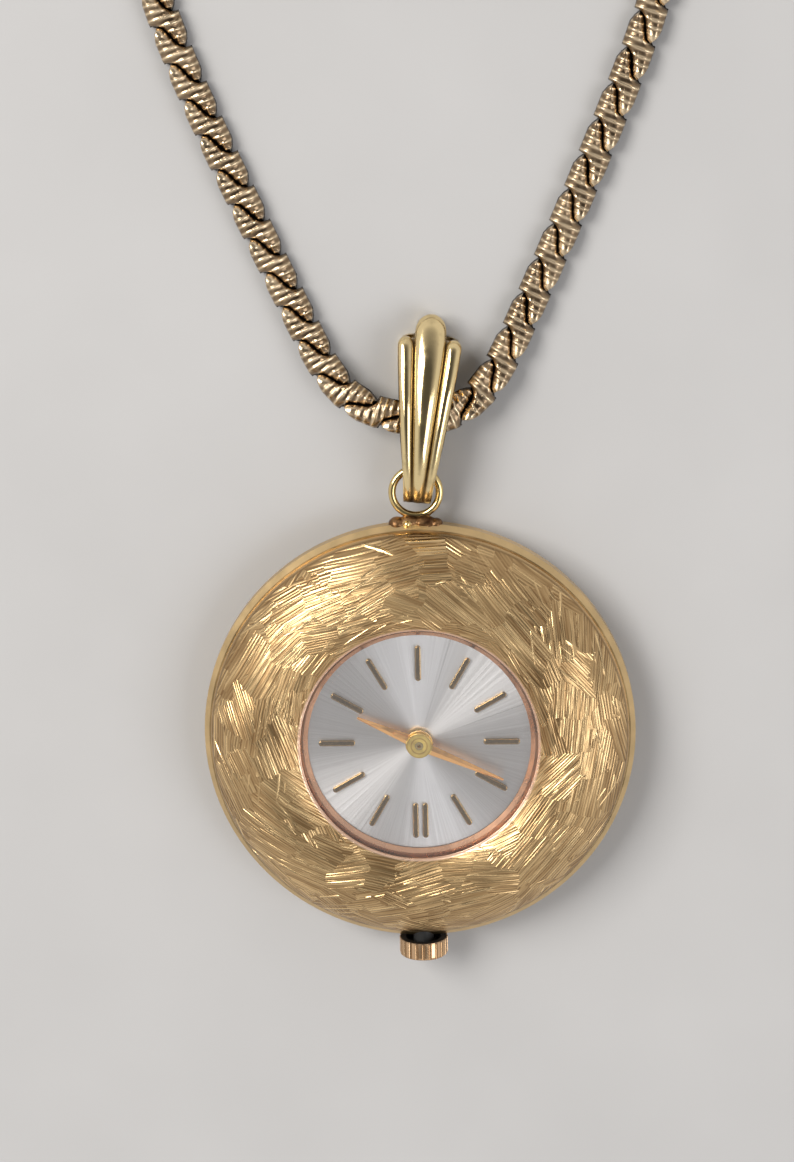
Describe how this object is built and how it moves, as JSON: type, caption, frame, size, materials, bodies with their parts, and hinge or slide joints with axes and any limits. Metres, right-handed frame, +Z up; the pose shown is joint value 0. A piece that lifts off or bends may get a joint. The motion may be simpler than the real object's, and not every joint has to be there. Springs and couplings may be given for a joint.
{
  "type": "fob watch",
  "caption": "Round pendant watch with engraved bezel, silvered dial, bar markers, two hands and crown, hung by a ring and a fluted bail on a long link chain.",
  "frame": {"origin": "centre of the flat case back, on the axis of the hands; the watch lies on its back", "axes": "+Z up through the dial to the crystal, +Y from the hands to the bow and the chain, +X to the right seen from above; the crown is at -Y"},
  "size_m": [0.0386, 0.1058, 0.0065],
  "materials": {
    "case_brass": "hand-engraved, warm and satin",
    "case_satin": "fine satin",
    "rehaut_copper": "satin rose",
    "crystal_glass": "clear",
    "gasket_rubber": "matte",
    "movement_brass": "fine satin",
    "polished_gold": "polished",
    "crown_gold": "polished rose",
    "dial_silver": "sunburst satin",
    "marker_gold": "polished",
    "hand_gold": "polished",
    "nickel_plate": "fine grained",
    "steel": "polished",
    "spring_steel": "blued",
    "ruby": "polished stone",
    "shock_gold": "polished",
    "chain_brass": "antique, ridged links"
  },
  "bodies": {
    "necklace": {"bail": "polished_gold", "chain_run": "chain_brass", "chain_coil": "chain_brass", "clasp_ring": "chain_brass", "chain_end_rings": "chain_brass"},
    "watch_head": {"case_back": "case_brass", "back_gasket": "gasket_rubber", "case_band": "case_satin", "bezel": "case_brass", "rehaut_ring": "rehaut_copper", "crystal": "crystal_glass", "movement_ring": "movement_brass", "case_screws": "steel", "bow_ring": "polished_gold", "bow_pad": "polished_gold", "dial": "dial_silver", "hour_markers": "marker_gold", "main_plate": "nickel_plate", "barrel_bridge": "nickel_plate", "train_bridge": "nickel_plate", "balance_cock": "nickel_plate", "pallet_bridge": "nickel_plate", "bridge_screws": "steel", "keyless_screws": "steel", "jewels": "ruby", "shock_setting": "shock_gold", "click_spring": "spring_steel", "crown_tube": "crown_gold", "yoke": "steel"},
    "minute_group": {"center_wheel": "movement_brass", "cannon_pinion": "steel", "minute_hand": "hand_gold"},
    "hour_group": {"hour_wheel": "movement_brass", "hour_hand": "hand_gold"},
    "minute_wheel": {"minute_wheel": "movement_brass"},
    "setting_wheel": {"setting_wheel": "steel"},
    "barrel": {"barrel_drum": "movement_brass", "barrel_cover": "movement_brass"},
    "barrel_core": {"barrel_arbor": "steel", "ratchet_wheel": "steel", "ratchet_screw": "steel", "mainspring": "spring_steel"},
    "third": {"third_wheel": "movement_brass"},
    "fourth": {"fourth_wheel": "movement_brass"},
    "escape": {"escape_wheel": "steel"},
    "pallets": {"pallet_fork": "steel", "pallet_stones": "ruby"},
    "balance": {"balance_wheel": "movement_brass", "balance_staff": "steel", "roller": "steel", "hairspring": "spring_steel"},
    "crown_wheel": {"crown_wheel": "steel"},
    "click": {"click": "steel"},
    "sliding_pinion": {"sliding_pinion": "steel"},
    "winding_pinion": {"winding_pinion": "steel"},
    "crown_stem": {"crown": "crown_gold", "crown_gasket": "gasket_rubber", "stem": "steel"},
    "setting_lever": {"setting_lever": "steel"},
    "clasp_bolt": {"clasp_bolt": "chain_brass"}
  },
  "joints": [
    {"name": "head_lift", "type": "hinge", "parent": "necklace", "child": "watch_head", "pos_m": [0, 0.0181, 0.0022], "axis": [-1, 0, 0], "range_deg": [0, 75]},
    {"name": "fourth_turn", "type": "hinge", "parent": "watch_head", "child": "fourth", "pos_m": [0.00241, 0.00333, 0.0025], "axis": [0, 0, 1], "continuous": true},
    {"name": "minute_turn", "type": "hinge", "parent": "watch_head", "child": "minute_group", "pos_m": [0, 0, 0.0025], "axis": [0, 0, 1], "continuous": true},
    {"name": "hour_turn", "type": "hinge", "parent": "watch_head", "child": "hour_group", "pos_m": [0, 0, 0.0025], "axis": [0, 0, 1], "continuous": true},
    {"name": "minute_wheel_turn", "type": "hinge", "parent": "watch_head", "child": "minute_wheel", "pos_m": [0.00098, -0.00271, 0.0025], "axis": [0, 0, 1], "continuous": true},
    {"name": "setting_wheel_turn", "type": "hinge", "parent": "watch_head", "child": "setting_wheel", "pos_m": [0.00034, -0.006, 0.0025], "axis": [0, 0, 1], "continuous": true},
    {"name": "third_turn", "type": "hinge", "parent": "watch_head", "child": "third", "pos_m": [-0.0007, 0.00399, 0.0025], "axis": [0, 0, 1], "continuous": true},
    {"name": "escape_turn", "type": "hinge", "parent": "watch_head", "child": "escape", "pos_m": [0.00523, 0.00283, 0.0025], "axis": [0, 0, 1], "continuous": true},
    {"name": "barrel_turn", "type": "hinge", "parent": "watch_head", "child": "barrel", "pos_m": [-0.00378, -0.00265, 0.0025], "axis": [0, 0, 1], "continuous": true},
    {"name": "pallet_swing", "type": "hinge", "parent": "watch_head", "child": "pallets", "pos_m": [0.005, 0.00049, 0.0028], "axis": [0, 0, 1], "range_deg": [-4, 4]},
    {"name": "balance_swing", "type": "hinge", "parent": "watch_head", "child": "balance", "pos_m": [0.0046, -0.0036, 0.0024], "axis": [0, 0, 1], "range_deg": [-270, 270], "stiffness_Nm_per_rad": 0.00000002},
    {"name": "crown_turn", "type": "hinge", "parent": "watch_head", "child": "sliding_pinion", "pos_m": [0, -0.008, 0.00255], "axis": [0, -1, 0], "continuous": true},
    {"name": "crown_pull", "type": "slide", "parent": "sliding_pinion", "child": "crown_stem", "axis": [0, -1, 0], "range_m": [0, 0.0005]},
    {"name": "winding_pinion_turn", "type": "hinge", "parent": "watch_head", "child": "winding_pinion", "pos_m": [0, -0.009, 0.00255], "axis": [0, -1, 0], "continuous": true},
    {"name": "crown_wheel_turn", "type": "hinge", "parent": "watch_head", "child": "crown_wheel", "pos_m": [0.0019, -0.0066, 0.0025], "axis": [0, 0, 1], "continuous": true},
    {"name": "ratchet_turn", "type": "hinge", "parent": "watch_head", "child": "barrel_core", "pos_m": [-0.00378, -0.00265, 0.0025], "axis": [0, 0, 1], "continuous": true},
    {"name": "click_swing", "type": "hinge", "parent": "watch_head", "child": "click", "pos_m": [-0.00856, -0.00303, 0.00115], "axis": [0, 0, 1], "range_deg": [0, 8], "stiffness_Nm_per_rad": 0.00001, "springref_deg": -2.86},
    {"name": "setting_lever_swing", "type": "hinge", "parent": "watch_head", "child": "setting_lever", "pos_m": [-0.0024, -0.0083, 0.004], "axis": [0, 0, 1], "range_deg": [-4, 0]},
    {"name": "clasp_open", "type": "hinge", "parent": "necklace", "child": "clasp_bolt", "pos_m": [0, 0.071, 0.00118], "axis": [0, 0, 1], "range_deg": [0, 44], "stiffness_Nm_per_rad": 0.0002, "springref_deg": -20.05}
  ],
  "couplings": [
    {"joint": "minute_turn", "follows": "fourth_turn", "ratio": 0.016667},
    {"joint": "hour_turn", "follows": "fourth_turn", "ratio": 0.0013889},
    {"joint": "minute_wheel_turn", "follows": "fourth_turn", "ratio": -0.0055556},
    {"joint": "setting_wheel_turn", "follows": "fourth_turn", "ratio": 0.01},
    {"joint": "third_turn", "follows": "fourth_turn", "ratio": -0.13333},
    {"joint": "escape_turn", "follows": "fourth_turn", "ratio": -10},
    {"joint": "barrel_turn", "follows": "fourth_turn", "ratio": -0.0027778},
    {"joint": "winding_pinion_turn", "follows": "crown_turn", "ratio": 1},
    {"joint": "crown_wheel_turn", "follows": "crown_turn", "ratio": -0.5},
    {"joint": "ratchet_turn", "follows": "crown_turn", "ratio": 0.36}
  ]
}
